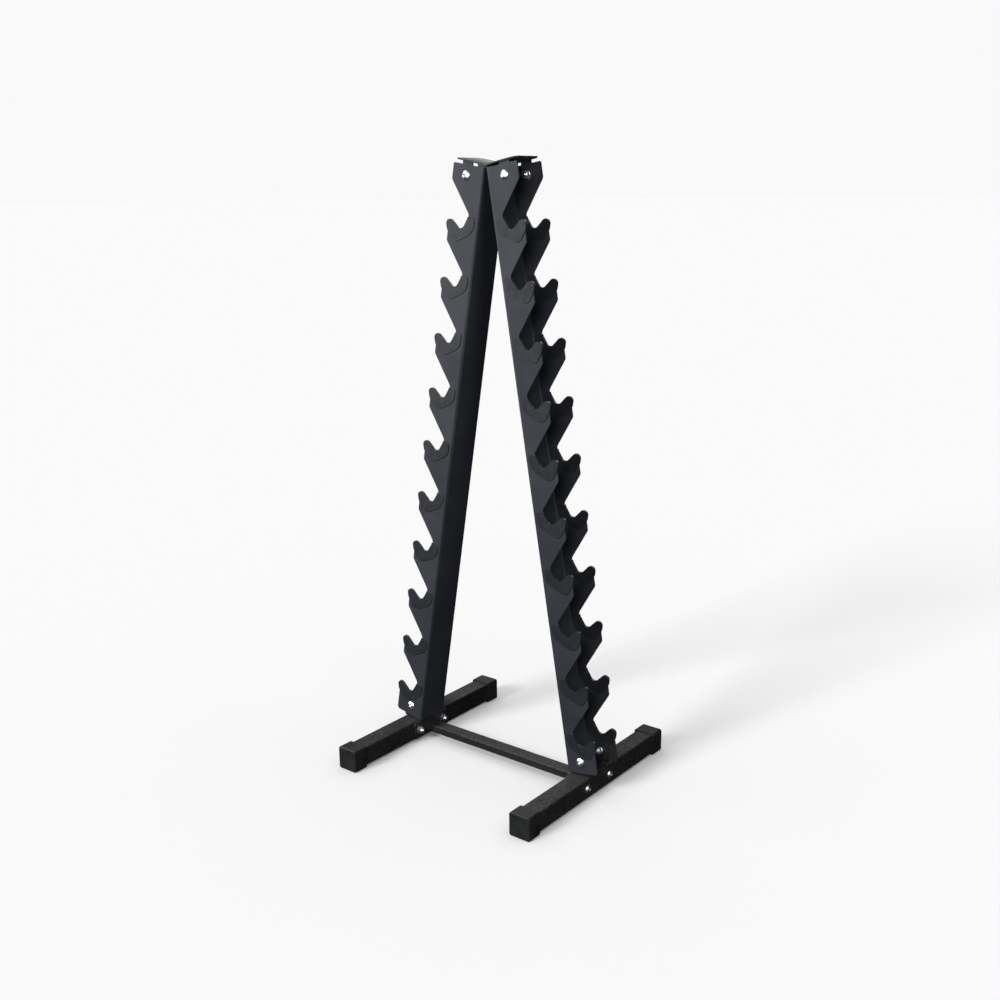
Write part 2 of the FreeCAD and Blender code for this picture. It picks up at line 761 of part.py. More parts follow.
def make_top_plate(label):
    body = new_body(label)
    root, middle, tip = wing_arc()
    rise = V(0, num("wingGauge"), 0)
    centre = Part.Arc(root, middle, tip).toShape().Curve.Center
    outline = new_sketch(body, label + "_wing_outline", "XZ_Plane")

    def mirrored(point):
        return V(-point.x, point.y, 0)

    draw_path(outline, [
        ("start", root),
        ("arc", centre, tip, -1),
        ("line", tip + rise),
        ("arc", centre + rise, root + rise, 1),
        ("arc", mirrored(centre) + rise, mirrored(tip) + rise, 1),
        ("line", mirrored(tip)),
        ("arc", mirrored(centre), root, -1),
    ])
    add_pad(body, label + "_wings", outline, size("postDepth"), both=True)
    span = num("wingHalfSpan")
    add_fillet(body, label + "_wing_corners", size("wingCorner"), UP,
               lambda p: abs(abs(p.x) - span) < 0.01)

    reach = num("topBoltReach")
    half = num("tabWidth") / 2
    end_drop = num("tabEndDrop")
    outer_face = size("postDepth") / 2 - size("postGauge") - size("tabGap")
    for post_name, side in (("left", -1), ("right", 1)):
        low_in = on_post(1, reach - half, end_drop)
        low_out = on_post(1, reach + half, end_drop)
        top_in_x = on_post(1, reach - half, 0).x
        top_out_x = on_post(1, reach + half, 0).x
        embed = num("wingGauge") / 2
        corners = [
            V(low_in.x, low_in.z, 0),
            V(low_out.x, low_out.z, 0),
            V(top_out_x, wing_height(top_out_x) + embed, 0),
            V(top_in_x, wing_height(top_in_x) + embed, 0),
        ]
        corners = [V(point.x * side, point.y, 0) for point in corners]
        for row_name, row in (("front", -1), ("back", 1)):
            name = label + "_tab_" + post_name + "_" + row_name
            tab = new_sketch(body, name + "_outline", "XZ_Plane", outer_face * -row)
            draw_path(tab, [("start", corners[0])] + [("line", corners[(i + 1) % 4]) for i in range(4)])
            add_pad(body, name, tab, size("tabGauge"), backwards=row < 0)
    low_out = on_post(1, reach + half, end_drop)
    low_in = on_post(1, reach - half, end_drop)
    add_fillet(body, label + "_tab_corners", size("tabCorner"), DEEP,
               lambda p: near(V(abs(p.x), 0, p.z), low_out.x, low_out.z, 0.1)
               or near(V(abs(p.x), 0, p.z), low_in.x, low_in.z, 0.1))
    bolt_x, bolt_z = post_spot(size("topBoltReach"), size("topBoltDrop"))
    holes = new_sketch(body, label + "_bolt_holes_outline", "XZ_Plane")
    for side in (-1, 1):
        draw_circle(holes, bolt_x * side, bolt_z, size("boltHole"))
    add_pocket(body, label + "_bolt_holes", holes, size("postDepth") * 2, both=True)
    return body


# ---- fasteners --------------------------------------------------------------------------------

def make_bolt(label, grip):
    """Dome-head bolt with a hexagon socket; the underside of its head is at its own origin."""
    body = new_body(label)
    radius = size("boltDiameter") / 2
    head = size("boltHeadDiameter") / 2
    shank = grip + size("nutHeight") + size("nutCollarHeight") + size("boltStub")
    profile = new_sketch(body, label + "_profile", "XZ_Plane")
    rim = V(head.number, num("boltHeadRim"), 0)
    crown = V(0, num("boltHeadHeight"), 0)
    rise = crown.y - rim.y
    ball = (rim.x ** 2 + rise ** 2) / (2 * rise)
    centre = V(0, crown.y - ball, 0)
    draw_path(profile, [
        ("start", V(0, -shank.number, 0)),
        ("line", V(radius.number, -shank.number, 0)),
        ("line", V(radius.number, 0, 0)),
        ("line", V(head.number, 0, 0)),
        ("line", rim),
        ("arc", centre, crown, 1),
        ("line", V(0, -shank.number, 0)),
    ])
    pin_point(profile, 1, 1, radius, -shank)
    turned = body.newObject("PartDesign::Revolution", label + "_turned")
    turned.Profile = profile
    turned.ReferenceAxis = (profile, ["V_Axis"])
    turned.Angle = 360
    body.Tip = turned
    socket = new_sketch(body, label + "_socket_outline", "XY_Plane", size("boltHeadHeight"))
    draw_hexagon(socket, size("socketWidth"))
    add_pocket(body, label + "_socket", socket, size("socketDepth"))
    return body


def make_nut(label):
    """Lock nut along -Z from its own origin, hexagon first, then a round collar."""
    body = new_body(label)
    hexagon = new_sketch(body, label + "_hexagon", "XY_Plane")
    draw_hexagon(hexagon, size("nutWidth"))
    zero = Size(0.0, "0")
    add_pad(body, label + "_hex", hexagon, size("nutHeight"), backwards=True)
    collar = new_sketch(body, label + "_collar_outline", "XY_Plane")
    draw_circle(collar, zero, zero, size("nutCollarDiameter"))
    add_pad(body, label + "_collar", collar, size("nutHeight") + size("nutCollarHeight"), backwards=True)
    bore = new_sketch(body, label + "_bore_outline", "XY_Plane")
    draw_circle(bore, zero, zero, size("nutBore"))
    add_pocket(body, label + "_bore", bore, size("nutHeight") + size("nutCollarHeight") + size("cutMargin"))
    return body


def make_washer(label):
    """Flat washer along -Z from its own origin."""
    body = new_body(label)
    ring = new_sketch(body, label + "_outline", "XY_Plane")
    zero = Size(0.0, "0")
    draw_circle(ring, zero, zero, size("washerDiameter"))
    draw_circle(ring, zero, zero, size("boltHole"))
    add_pad(body, label + "_disc", ring, size("washerThickness"), backwards=True)
    return body


def make_group(label, members):
    doc.recompute()
    group = doc.addObject("Part::Compound", label)
    group.Label = label
    group.Links = members
    return group


def make_joint(prefix, site, head_point, heading, packed, sets):
    """One bolt, washer and nut; packed is the thickness clamped between head and washer."""
    turn = FreeCAD.Rotation(UP, heading)
    bolt = make_bolt("%s_bolt_%s" % (prefix, site), packed + size("washerThickness"))
    bolt.Placement = FreeCAD.Placement(head_point, turn)
    washer = make_washer("%s_washer_%s" % (prefix, site))
    washer.Placement = FreeCAD.Placement(head_point - heading * packed.number, turn)
    nut = make_nut("%s_nut_%s" % (prefix, site))
    behind = packed.number + num("washerThickness")
    nut.Placement = FreeCAD.Placement(head_point - heading * behind, turn)
    sets[0].append(bolt)
    sets[1].append(nut)
    sets[2].append(washer)


# ---- assembly ---------------------------------------------------------------------------------

SIDES = (("left", -1), ("right", 1))
ROWS = (("front", -1), ("back", 1))
nodes = []

for side_name, side in SIDES:
    nodes.append(make_post("post_" + side_name, side))
    nodes.append(make_foot("foot_tube_" + side_name, side))
    nodes.append(make_bracket("foot_bracket_" + side_name, side))
    for row_name, row in ROWS:
        nodes.append(make_cap("end_cap_%s_%s" % (side_name, row_name), side, row))
        for tier in range(int(num("hookCount"))):
            liner_label = "liner_%s_%s_%02d" % (side_name, row_name, tier + 1)
            nodes.append(make_liner(liner_label, side, row, tier))

nodes.append(make_crossbar("crossbar"))
nodes.append(make_top_plate("top_plate"))

washers = []
for prefix in ("top", "base"):
    bolts = []
    nuts = []
    if prefix == "top":
        reach, drop = num("topBoltReach"), num("topBoltDrop")
        packed = size("postGauge") + size("tabGap") + size("tabGauge")
    else:
        reach, drop = num("baseBoltReach"), post_length().number - num("baseBoltRise")
        packed = size("postGauge") + size("bracketGap") + size("bracketGauge")
    for side_name, side in SIDES:
        for row_name, row in ROWS:
            spot = on_post(side, reach, drop)
            spot.y = row * num("postDepth") / 2
            make_joint(prefix, side_name + "_" + row_name, spot, DEEP * row, packed, (bolts, nuts, washers))
    nodes.append(make_group(prefix + "_bolts", bolts))
    nodes.append(make_group(prefix + "_nuts", nuts))

bolts = []
nuts = []
packed = size("footSize") + size("plateThickness")
for side_name, side in SIDES:
    for row_name, row in ROWS:
        spot = foot_centre(side) + V(side * num("footSize") / 2, row * num("footBoltSpacing") / 2, 0)
        make_joint("foot", side_name + "_" + row_name, spot, ACROSS * side, packed, (bolts, nuts, washers))
nodes.append(make_group("foot_bolts", bolts))
nodes.append(make_group("foot_nuts", nuts))
nodes.append(make_group("flat_washers", washers))

doc.recompute()

problems = []
for item in doc.Objects:
    if "Invalid" in item.State or "Error" in item.State:
        problems.append("%s: %s" % (item.Label, item.State))
for node in nodes:
    if node.Shape.isNull() or not node.Shape.isValid() or not node.Shape.Solids:
        problems.append("%s: no valid solid" % node.Label)
if problems:
    raise RuntimeError("; ".join(problems))

for node in nodes:
    node.Shape.exportStep("parts/%s.step" % node.Label)
    print(node.Label, len(node.Shape.Solids), round(node.Shape.Volume, 1))
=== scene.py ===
import math

import bmesh
import bpy
from mathutils import Matrix, Vector


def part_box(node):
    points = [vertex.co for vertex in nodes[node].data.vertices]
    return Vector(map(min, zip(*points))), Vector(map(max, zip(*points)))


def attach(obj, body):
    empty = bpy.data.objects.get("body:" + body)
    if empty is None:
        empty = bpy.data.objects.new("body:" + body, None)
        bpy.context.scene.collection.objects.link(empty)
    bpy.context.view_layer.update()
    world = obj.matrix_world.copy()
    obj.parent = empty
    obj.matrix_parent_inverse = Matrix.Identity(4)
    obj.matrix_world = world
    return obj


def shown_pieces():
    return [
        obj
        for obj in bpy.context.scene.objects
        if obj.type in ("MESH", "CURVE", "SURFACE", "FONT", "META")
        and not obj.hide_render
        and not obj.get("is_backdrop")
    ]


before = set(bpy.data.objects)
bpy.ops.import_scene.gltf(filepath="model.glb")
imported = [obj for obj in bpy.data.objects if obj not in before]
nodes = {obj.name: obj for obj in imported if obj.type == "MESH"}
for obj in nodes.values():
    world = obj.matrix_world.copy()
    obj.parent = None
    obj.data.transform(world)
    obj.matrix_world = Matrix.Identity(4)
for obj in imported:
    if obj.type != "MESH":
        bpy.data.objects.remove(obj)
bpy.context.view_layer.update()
print("frame loaded:", len(nodes), "nodes")

scene = bpy.context.scene
scene.view_settings.view_transform = "Standard"
scene.view_settings.look = "None"


def newMaterial(name):
    material = bpy.data.materials.new(name)
    material.use_nodes = True
    tree = material.node_tree
    tree.nodes.clear()
    output = tree.nodes.new("ShaderNodeOutputMaterial")
    shader = tree.nodes.new("ShaderNodeBsdfPrincipled")
    tree.links.new(shader.outputs["BSDF"], output.inputs["Surface"])
    return material, tree, shader


def noiseField(tree, coords, scale, detail=3.0, roughness=0.5, stretch=None):
    # stretch squeezes the pattern along an axis, for brushed and rubbed marks
    source = coords
    if stretch is not None:
        mapping = tree.nodes.new("ShaderNodeMapping")
        mapping.inputs["Scale"].default_value = stretch
        tree.links.new(coords, mapping.inputs["Vector"])
        source = mapping.outputs["Vector"]
    noise = tree.nodes.new("ShaderNodeTexNoise")
    noise.inputs["Scale"].default_value = scale
    noise.inputs["Detail"].default_value = detail
    noise.inputs["Roughness"].default_value = roughness
    tree.links.new(source, noise.inputs["Vector"])
    return noise.outputs["Fac"]


def ramp(tree, value, stops):
    # stops are (position, colour or grey)
    node = tree.nodes.new("ShaderNodeValToRGB")
    elements = node.color_ramp.elements
    while len(elements) < len(stops):
        elements.new(0.5)
    for element, (position, tone) in zip(elements, stops):
        element.position = position
        element.color = (tone, tone, tone, 1) if isinstance(tone, (int, float)) else (*tone, 1)
    tree.links.new(value, node.inputs["Fac"])
    return node.outputs["Color"]


def mixColour(tree, share, first, second, kind="MIX"):
    node = tree.nodes.new("ShaderNodeMix")
    node.data_type = "RGBA"
    node.blend_type = kind
    for socket, item in ((node.inputs[0], share), (node.inputs[6], first), (node.inputs[7], second)):
        if isinstance(item, bpy.types.NodeSocket):
            tree.links.new(item, socket)
        elif isinstance(item, (int, float)):
            socket.default_value = item
        else:
            socket.default_value = (*item, 1)
    return node.outputs[2]


def bumpChain(tree, shader, layers):
    # layers are (height field, strength, distance in metres), coarsest first
    normal = None
    for height, strength, distance in layers:
        bump = tree.nodes.new("ShaderNodeBump")
        bump.inputs["Strength"].default_value = strength
        bump.inputs["Distance"].default_value = distance
        tree.links.new(height, bump.inputs["Height"])
        if normal is not None:
            tree.links.new(normal, bump.inputs["Normal"])
        normal = bump.outputs["Normal"]
    tree.links.new(normal, shader.inputs["Normal"])


def objectCoords(tree):
    return tree.nodes.new("ShaderNodeTexCoord").outputs["Object"]


def arithmetic(tree, operation, first, second=None, clamp=False):
    node = tree.nodes.new("ShaderNodeMath")
    node.operation = operation
    node.use_clamp = clamp
    for socket, item in zip(node.inputs, (first, second)):
        if isinstance(item, bpy.types.NodeSocket):
            tree.links.new(item, socket)
        elif item is not None:
            socket.default_value = item
    return node.outputs["Value"]


def overlapOf(tree, first, second):
    # 1 where both masks are 1
    return arithmetic(tree, "MULTIPLY", first, second, clamp=True)


def upFacing(tree, low=0.55, high=0.95):
    # 0 where the normal's height is under low and 1 where it is over high; dust settles on the upmost,
    # and the liners' painted rim highlight is kept to up-facing rims with it
    geometry = tree.nodes.new("ShaderNodeNewGeometry")
    split = tree.nodes.new("ShaderNodeSeparateXYZ")
    tree.links.new(geometry.outputs["Normal"], split.inputs["Vector"])
    return ramp(tree, split.outputs["Z"], [(low, 0.0), (high, 1.0)])


def edgeMask(tree, radius):
    # 1 on and beside sharp edges, found by comparing the surface with a rounded copy of it
    rounded = tree.nodes.new("ShaderNodeBevel")
    rounded.samples = 4
    rounded.inputs["Radius"].default_value = radius
    geometry = tree.nodes.new("ShaderNodeNewGeometry")
    likeness = tree.nodes.new("ShaderNodeVectorMath")
    likeness.operation = "DOT_PRODUCT"
    tree.links.new(rounded.outputs["Normal"], likeness.inputs[0])
    tree.links.new(geometry.outputs["Normal"], likeness.inputs[1])
    return ramp(tree, likeness.outputs["Value"], [(0.80, 1.0), (0.985, 0.0)])


# satin powder coat of the posts and the top plate
postCoat = {
    "deep": (0.0375, 0.0410, 0.0515),
    "pale": (0.0485, 0.0520, 0.0610),
    # paler tone at the edges: partly chipped paint, partly a painted highlight
    "edge": (0.100, 0.104, 0.112),
    "roughness": 0.42,
    "gloss": 0.28,
    "cloudScale": 7.0,
    "peelScale": 430.0,      # orange peel, per metre
    "grainScale": 2100.0,
    "rubScale": 30.0,
    "rubLight": 1.35,        # how much paler a rub is than the pale tone
    "rubRoughness": 0.33,
    "spotScale": 150.0,
    "dust": (0.075, 0.076, 0.078),
    "edgeWidth": 0.0009,
}


def makePostCoat():
    material, tree, shader = newMaterial("satinPowderCoat")
    coords = objectCoords(tree)
    clouds = noiseField(tree, coords, postCoat["cloudScale"], 6.0, 0.62)
    peel = noiseField(tree, coords, postCoat["peelScale"], 2.0)
    grain = noiseField(tree, coords, postCoat["grainScale"], 2.0, 0.6)
    rubs = noiseField(tree, coords, postCoat["rubScale"], 7.0, 0.72, (1.0, 1.0, 0.2))
    dustAndEdgeSpots = noiseField(tree, coords, postCoat["spotScale"], 4.0, 0.65)
    cloudy = ramp(tree, clouds, [(0.36, 0.0), (0.68, 1.0)])
    coat = mixColour(tree, cloudy, postCoat["deep"], postCoat["pale"])
    coat = mixColour(tree, 0.7, coat, ramp(tree, grain, [(0.34, 0.84), (0.66, 1.18)]), "MULTIPLY")
    rubbed = ramp(tree, rubs, [(0.61, 0.0), (0.76, 0.5)])
    coat = mixColour(tree, rubbed, coat, [tone * postCoat["rubLight"] for tone in postCoat["pale"]])
    dusty = overlapOf(tree, upFacing(tree), ramp(tree, dustAndEdgeSpots, [(0.35, 0.10), (0.7, 0.45)]))
    coat = mixColour(tree, dusty, coat, postCoat["dust"])
    # edges paler in spots: partly chipped paint, partly a painted highlight along the edges
    edgeWearAndHighlightSpots = ramp(tree, dustAndEdgeSpots, [(0.46, 0.0), (0.66, 0.65)])
    edgeWearAndHighlight = overlapOf(tree, edgeMask(tree, postCoat["edgeWidth"]), edgeWearAndHighlightSpots)
    coat = mixColour(tree, edgeWearAndHighlight, coat, postCoat["edge"])
    tree.links.new(coat, shader.inputs["Base Color"])
    rough = postCoat["roughness"]
    rough = ramp(tree, clouds, [(0.32, rough - 0.05), (0.74, rough + 0.10)])
    rough = mixColour(tree, rubbed, rough, (postCoat["rubRoughness"],) * 3)
    tree.links.new(rough, shader.inputs["Roughness"])
    shader.inputs["Specular IOR Level"].default_value = postCoat["gloss"]
    bumpChain(tree, shader, [(peel, 0.30, 0.00020), (grain, 0.25, 0.00006)])
    return material


# wrinkle coat of the floor tubes, brackets and crossbar: rougher, mottled and less blue
baseCoat = {
    "deep": (0.0105, 0.0112, 0.0118),
    "pale": (0.0480, 0.0490, 0.0500),
    # paler tone at the edges: partly chipped paint, partly a painted highlight
    "edge": (0.090, 0.091, 0.092),
    "roughness": 0.50,
    "gloss": 0.32,
    "wrinkleScale": 230.0,
    "speckScale": 520.0,
    "pitScale": 420.0,
    "cloudScale": 12.0,
    "dust": (0.072, 0.072, 0.071),
    "edgeWidth": 0.0010,
}


def makeBaseCoat():
    material, tree, shader = newMaterial("wrinkleCoat")
    coords = objectCoords(tree)
    wrinkle = noiseField(tree, coords, baseCoat["wrinkleScale"], 4.0, 0.62)
    speck = noiseField(tree, coords, baseCoat["speckScale"], 3.0, 0.7)
    clouds = noiseField(tree, coords, baseCoat["cloudScale"], 5.0, 0.6)
    pits = tree.nodes.new("ShaderNodeTexVoronoi")
    pits.inputs["Scale"].default_value = baseCoat["pitScale"]
    tree.links.new(coords, pits.inputs["Vector"])
    mottle = ramp(tree, wrinkle, [(0.42, 0.0), (0.60, 1.0)])
    coat = mixColour(tree, mottle, baseCoat["deep"], baseCoat["pale"])
    coat = mixColour(tree, 0.75, coat, ramp(tree, speck, [(0.36, 0.72), (0.64, 1.30)]), "MULTIPLY")
    coat = mixColour(tree, 0.6, coat, ramp(tree, clouds, [(0.34, 0.82), (0.68, 1.18)]), "MULTIPLY")
    dusty = overlapOf(tree, upFacing(tree), ramp(tree, clouds, [(0.36, 0.08), (0.68, 0.40)]))
    coat = mixColour(tree, dusty, coat, baseCoat["dust"])
    # edges paler in spots: partly chipped paint, partly a painted highlight along the edges
    edgeWearAndHighlightSpots = ramp(tree, speck, [(0.42, 0.0), (0.62, 0.7)])
    edgeWearAndHighlight = overlapOf(tree, edgeMask(tree, baseCoat["edgeWidth"]), edgeWearAndHighlightSpots)
    coat = mixColour(tree, edgeWearAndHighlight, coat, baseCoat["edge"])
    tree.links.new(coat, shader.inputs["Base Color"])
    rough = baseCoat["roughness"]
    rough = ramp(tree, wrinkle, [(0.35, rough + 0.12), (0.68, rough - 0.08)])
    tree.links.new(rough, shader.inputs["Roughness"])
    shader.inputs["Specular IOR Level"].default_value = baseCoat["gloss"]
    layers = [(wrinkle, 0.75, 0.00060), (pits.outputs["Distance"], 0.20, 0.00012), (speck, 0.30, 0.00010)]
    bumpChain(tree, shader, layers)
    return material


# moulded nylon of the hook liners, polished where handles slide, with a painted highlight on the upper
# rims
linerPlastic = {
    "deep": (0.0215, 0.0245, 0.0300),
    "pale": (0.0300, 0.0330, 0.0385),
    "scratch": (0.075, 0.078, 0.083),
    "roughness": 0.36,
    "gloss": 0.52,
    "grainScale": 1300.0,
    "streakScale": 60.0,
    "cloudScale": 16.0,
    "seatRoughness": 0.26,   # where handles rest
    "rimWidth": 0.0020,
    # pale upper rim: partly polish, partly a painted highlight
    "rimWearAndHighlightTone": (0.30, 0.31, 0.33),
}


def makeLinerPlastic():
    material, tree, shader = newMaterial("linerPlastic")
    coords = objectCoords(tree)
    grain = noiseField(tree, coords, linerPlastic["grainScale"], 3.0, 0.6)
    streaks = noiseField(tree, coords, linerPlastic["streakScale"], 5.0, 0.65, (1.0, 0.25, 1.0))
    clouds = noiseField(tree, coords, linerPlastic["cloudScale"], 4.0)
    cloudy = ramp(tree, clouds, [(0.36, 0.0), (0.70, 1.0)])
    plastic = mixColour(tree, cloudy, linerPlastic["deep"], linerPlastic["pale"])
    marks = ramp(tree, streaks, [(0.60, 0.0), (0.74, 0.6)])
    handled = overlapOf(tree, upFacing(tree), marks)
    plastic = mixColour(tree, handled, plastic, linerPlastic["scratch"])
    # handles polish the upper rim of the saddle as they are lifted in and out; the pale rim is partly
    # that polish and partly a painted highlight
    polishAndHighlightPatches = ramp(tree, clouds, [(0.44, 0.15), (0.58, 0.9)])
    rimWearAndHighlight = overlapOf(tree, edgeMask(tree, linerPlastic["rimWidth"]), upFacing(tree, 0.0, 0.22))
    polishAndHighlight = overlapOf(tree, rimWearAndHighlight, polishAndHighlightPatches)
    plastic = mixColour(tree, polishAndHighlight, plastic, linerPlastic["rimWearAndHighlightTone"])
    tree.links.new(plastic, shader.inputs["Base Color"])
    rough = linerPlastic["roughness"]
    rough = ramp(tree, streaks, [(0.35, rough + 0.10), (0.75, rough - 0.07)])
    rough = mixColour(tree, upFacing(tree), rough, (linerPlastic["seatRoughness"],) * 3)
    tree.links.new(rough, shader.inputs["Roughness"])
    shader.inputs["Specular IOR Level"].default_value = linerPlastic["gloss"]
    bumpChain(tree, shader, [(streaks, 0.12, 0.00015), (grain, 0.35, 0.00007)])
    return material


# grained plastic of the end caps, scraped by the floor
capPlastic = {
    "deep": (0.0125, 0.0138, 0.0138),
    "pale": (0.0330, 0.0342, 0.0342),
    "scrape": (0.060, 0.060, 0.059),
    "roughness": 0.50,
    "gloss": 0.42,
    "leatherScale": 380.0,
    "scrapeScale": 70.0,
    "cloudScale": 24.0,
    "rimWidth": 0.0012,
    # paler rim: partly scuffing, partly a painted highlight on the edge
    "rimWearAndHighlightTone": (0.088, 0.089, 0.088),
}


def makeCapPlastic():
    material, tree, shader = newMaterial("capPlastic")
    coords = objectCoords(tree)
    leather = noiseField(tree, coords, capPlastic["leatherScale"], 3.0, 0.6)
    scrape = noiseField(tree, coords, capPlastic["scrapeScale"], 6.0, 0.72, (0.35, 1.0, 1.6))
    clouds = noiseField(tree, coords, capPlastic["cloudScale"], 4.0)
    cloudy = ramp(tree, clouds, [(0.36, 0.0), (0.70, 1.0)])
    plastic = mixColour(tree, cloudy, capPlastic["deep"], capPlastic["pale"])
    plastic = mixColour(tree, 0.7, plastic, ramp(tree, leather, [(0.36, 0.76), (0.64, 1.26)]), "MULTIPLY")
    scraped = ramp(tree, scrape, [(0.61, 0.0), (0.74, 0.5)])
    plastic = mixColour(tree, scraped, plastic, capPlastic["scrape"])
    # rim paler in spots: partly scuffing, partly a painted highlight
    rimWearAndHighlightSpots = ramp(tree, leather, [(0.40, 0.10), (0.62, 0.75)])
    rimWearAndHighlight = overlapOf(tree, edgeMask(tree, capPlastic["rimWidth"]), rimWearAndHighlightSpots)
    plastic = mixColour(tree, rimWearAndHighlight, plastic, capPlastic["rimWearAndHighlightTone"])
    tree.links.new(plastic, shader.inputs["Base Color"])
    rough = capPlastic["roughness"]
    rough = ramp(tree, clouds, [(0.3, rough - 0.06), (0.75, rough + 0.12)])
    tree.links.new(rough, shader.inputs["Roughness"])
    shader.inputs["Specular IOR Level"].default_value = capPlastic["gloss"]
    bumpChain(tree, shader, [(scrape, 0.10, 0.0002), (leather, 0.55, 0.00022)])
    return material


# bright zinc plate of the bolts, nuts and washers
brightZinc = {
    "clean": (0.86, 0.87, 0.89),
    "dull": (0.66, 0.67, 0.69),
    "roughness": 0.26,
    "spangleScale": 260.0,
    "hairlineScale": 900.0,
}


def makeBrightZinc():
    material, tree, shader = newMaterial("brightZinc")
    coords = objectCoords(tree)
    spangle = noiseField(tree, coords, brightZinc["spangleScale"], 4.0, 0.6)
    hairline = noiseField(tree, coords, brightZinc["hairlineScale"], 3.0, 0.6, (1.0, 1.0, 0.12))
    tarnish = ramp(tree, spangle, [(0.42, 0.0), (0.70, 0.7)])
    plate = mixColour(tree, tarnish, brightZinc["clean"], brightZinc["dull"])
    tree.links.new(plate, shader.inputs["Base Color"])
    rough = brightZinc["roughness"]
    rough = ramp(tree, spangle, [(0.3, rough - 0.04), (0.7, rough + 0.12)])
    tree.links.new(rough, shader.inputs["Roughness"])
    shader.inputs["Metallic"].default_value = 1.0
    bumpChain(tree, shader, [(hairline, 0.18, 0.00005)])
    return material


finishes = {
    "post": makePostCoat(),
    "base": makeBaseCoat(),
    "liner": makeLinerPlastic(),
    "cap": makeCapPlastic(),
    "zinc": makeBrightZinc(),
}


def finishOf(name):
    if name.startswith("liner"):
        return "liner"
    if name.startswith("end_cap"):
        return "cap"
    if name.startswith("post") or name == "top_plate":
        return "post"
    if name.startswith("foot_tube") or name.startswith("foot_bracket") or name == "crossbar":
        return "base"
    return "zinc"


for name, node in nodes.items():
    node.data.materials.clear()
    node.data.materials.append(finishes[finishOf(name)])
print("finishes given to every node")


# width of the broken edge on each kind of piece, in metres; the zinc keeps the edges of its solids
edgeBreak = {
    "post": 0.0005,
    "liner": 0.00055,
    "cap": 0.0006,
    "base": 0.0004,
    "topPlate": 0.0006,
    "seam": 0.000004,        # corners this near are one corner
    "sharpest": 40.0,        # degrees: gentler edges are left alone
}


def breakEdges(node, width):
    weld = node.modifiers.new("seam", "WELD")
    weld.merge_threshold = edgeBreak["seam"]
    bevel = node.modifiers.new("edge", "BEVEL")
    bevel.width = width
    bevel.segments = 2
    bevel.limit_method = "ANGLE"
    bevel.angle_limit = math.radians(edgeBreak["sharpest"])


for name, node in nodes.items():
    kind = "topPlate" if name == "top_plate" else finishOf(name)
    if kind in edgeBreak:
        breakEdges(node, edgeBreak[kind])
print("edges broken")


# weld beads, in metres
weldBead = {
    "radius": 0.0021,
    "ripple": 0.0019,        # from one ripple to the next
    "depth": 0.30,           # of a ripple, as a share of the radius
    "step": 0.0004,
    "sides": 10,
    "seed": 3.0,
    "wobbleScale": 240.0,
    "plateThickness": 0.005,
    "barCorner": 0.003,
    "barSink": 0.0006,       # how far a bead's line lies inside what it joins
    "barHalfDepth": 0.03,    # the bar is narrower than this, its end plates wider
    "bracketSink": 0.0004,
    "bracketRise": 0.0006,
    "bracketEnd": 0.009,     # left bare at each end of a bracket
    "bracketGap": 0.012,     # half the bare length at its middle
    "slack": 0.0001,
}


def makeWeldTree():
    tree = bpy.data.node_groups.new("weldBead", "GeometryNodeTree")
    tree.interface.new_socket("Path", in_out="INPUT", socket_type="NodeSocketGeometry")
    for label in ("Radius", "Ripple", "Depth", "Step", "Seed"):
        tree.interface.new_socket(label, in_out="INPUT", socket_type="NodeSocketFloat")
    tree.interface.new_socket("Sides", in_out="INPUT", socket_type="NodeSocketInt")
    tree.interface.new_socket("Finish", in_out="INPUT", socket_type="NodeSocketMaterial")
    tree.interface.new_socket("Bead", in_out="OUTPUT", socket_type="NodeSocketGeometry")
    start = tree.nodes.new("NodeGroupInput").outputs
    end = tree.nodes.new("NodeGroupOutput").inputs
    toCurve = tree.nodes.new("GeometryNodeMeshToCurve")
    tree.links.new(start["Path"], toCurve.inputs["Mesh"])
    resample = tree.nodes.new("GeometryNodeResampleCurve")
    resample.mode = "LENGTH"
    tree.links.new(toCurve.outputs["Curve"], resample.inputs["Curve"])
    tree.links.new(start["Step"], resample.inputs["Length"])
    along = tree.nodes.new("GeometryNodeSplineParameter").outputs["Length"]
    wobble = tree.nodes.new("ShaderNodeTexNoise")
    wobble.noise_dimensions = "4D"
    wobble.inputs["Scale"].default_value = weldBead["wobbleScale"]
    tree.links.new(start["Seed"], wobble.inputs["W"])
    # each ripple swells and then drops off, as a torch weave does
    phase = arithmetic(tree, "FRACT", arithmetic(tree, "DIVIDE", along, start["Ripple"]))
    arch = arithmetic(tree, "SINE", arithmetic(tree, "MULTIPLY", phase, math.pi))
    swell = arithmetic(tree, "POWER", arch, 0.6)
    dip = arithmetic(tree, "MULTIPLY", arithmetic(tree, "SUBTRACT", 1.0, swell), start["Depth"])
    unevenness = arithmetic(tree, "MULTIPLY", wobble.outputs["Fac"], 0.22)
    share = arithmetic(tree, "ADD", arithmetic(tree, "SUBTRACT", 0.9, dip), unevenness)
    width = arithmetic(tree, "MULTIPLY", share, start["Radius"])
    profile = tree.nodes.new("GeometryNodeCurvePrimitiveCircle")
    profile.inputs["Radius"].default_value = 1.0
    tree.links.new(start["Sides"], profile.inputs["Resolution"])
    sweep = tree.nodes.new("GeometryNodeCurveToMesh")
    sweep.inputs["Fill Caps"].default_value = True
    tree.links.new(width, sweep.inputs["Scale"])
    tree.links.new(resample.outputs["Curve"], sweep.inputs["Curve"])
    tree.links.new(profile.outputs["Curve"], sweep.inputs["Profile Curve"])
    realize = tree.nodes.new("GeometryNodeRealizeInstances")
    tree.links.new(sweep.outputs["Mesh"], realize.inputs["Geometry"])
    paint = tree.nodes.new("GeometryNodeSetMaterial")
    tree.links.new(realize.outputs["Geometry"], paint.inputs["Geometry"])
    tree.links.new(start["Finish"], paint.inputs["Material"])
    tree.links.new(paint.outputs["Geometry"], end["Bead"])
    return tree


weldTree = makeWeldTree()


